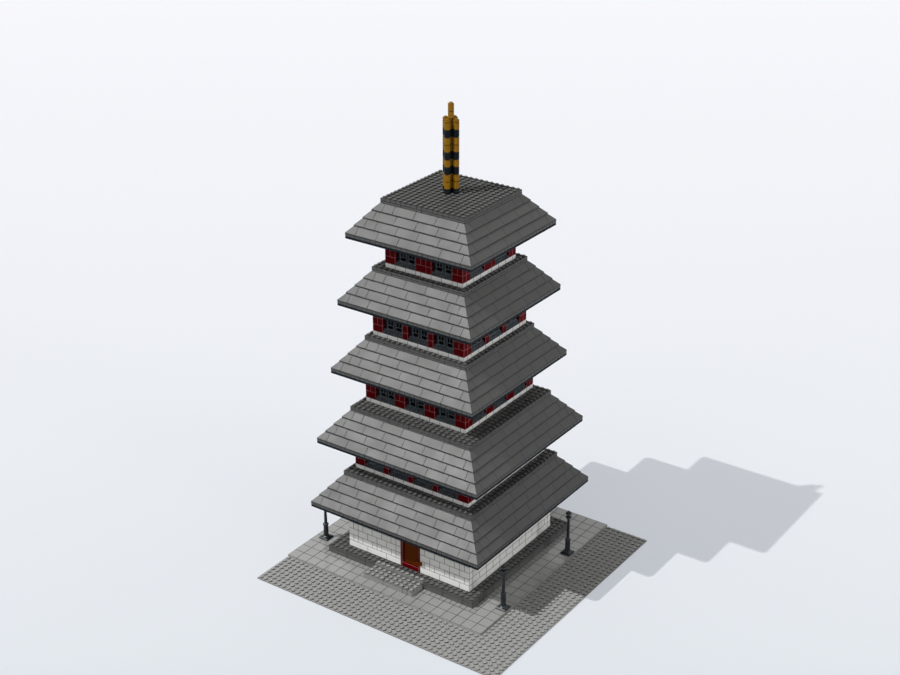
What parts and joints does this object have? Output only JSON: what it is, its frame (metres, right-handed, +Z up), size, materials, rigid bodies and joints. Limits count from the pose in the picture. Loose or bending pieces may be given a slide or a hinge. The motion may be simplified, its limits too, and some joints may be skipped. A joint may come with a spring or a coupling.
{
  "type": "toy pagoda",
  "caption": "Five-storey pagoda of interlocking toy bricks on a square baseplate, with tiered roofs, lamp posts, a spire and a door that turns.",
  "frame": {"origin": "middle of the baseplate's underside", "axes": "+Z up, the entrance looks along -Y"},
  "size_m": [0.384, 0.384, 0.6368],
  "materials": {
    "light_grey_plate": "moulded, studded",
    "light_grey_tile": "smooth tiles",
    "light_grey_brick": "moulded bricks",
    "dark_grey": "moulded, studded",
    "roof_grey": "finely grained slope bricks",
    "white": "moulded bricks",
    "black": "moulded bricks",
    "dark_red": "moulded bricks",
    "brown": "smooth",
    "gold": "pearly round bricks"
  },
  "bodies": {
    "pagoda": {"base_course_2": "white", "base_course_3": "white", "base_course_4": "white", "base_course_5": "white", "baseplate": "light_grey_plate", "door_frame": "dark_red", "door_lintel": "white", "eave_1": "black", "eave_2": "black", "eave_3": "black", "eave_4": "black", "eave_5": "black", "entrance_step": "light_grey_brick", "entrance_threshold": "light_grey_brick", "ground_wall_back": "white", "ground_wall_front_left": "white", "ground_wall_front_right": "white", "ground_wall_left": "white", "ground_wall_right": "white", "lamp_post_back_left": "black", "lamp_post_back_right": "black", "lamp_post_front_left": "black", "lamp_post_front_right": "black", "paving": "light_grey_tile", "podium": "dark_grey", "roof_deck_1": "dark_grey", "roof_deck_2": "dark_grey", "roof_deck_3": "dark_grey", "roof_deck_4": "dark_grey", "roof_deck_5": "dark_grey", "roof_slope_1": "roof_grey", "roof_slope_2": "roof_grey", "roof_slope_3": "roof_grey", "roof_slope_4": "roof_grey", "roof_slope_5": "roof_grey", "spire_column_back": "gold", "spire_column_front": "gold", "spire_column_left": "gold", "spire_column_right": "gold", "spire_core": "gold", "storey_2_back_wall": "dark_red", "storey_2_front_wall": "dark_red", "storey_2_left_wall": "dark_red", "storey_2_right_wall": "dark_red", "storey_3_back_wall": "dark_red", "storey_3_front_wall": "dark_red", "storey_3_left_wall": "dark_red", "storey_3_right_wall": "dark_red", "storey_4_back_wall": "dark_red", "storey_4_front_wall": "dark_red", "storey_4_left_wall": "dark_red", "storey_4_right_wall": "dark_red", "storey_5_back_wall": "dark_red", "storey_5_front_wall": "dark_red", "storey_5_left_wall": "dark_red", "storey_5_right_wall": "dark_red"},
    "door": {"door_leaf": "brown"}
  },
  "joints": [
    {"name": "door_hinge", "type": "hinge", "parent": "pagoda", "child": "door", "pos_m": [-0.0348, -0.068, 0.0212], "axis": [0, 0, -1], "range_deg": [0, 90]}
  ]
}
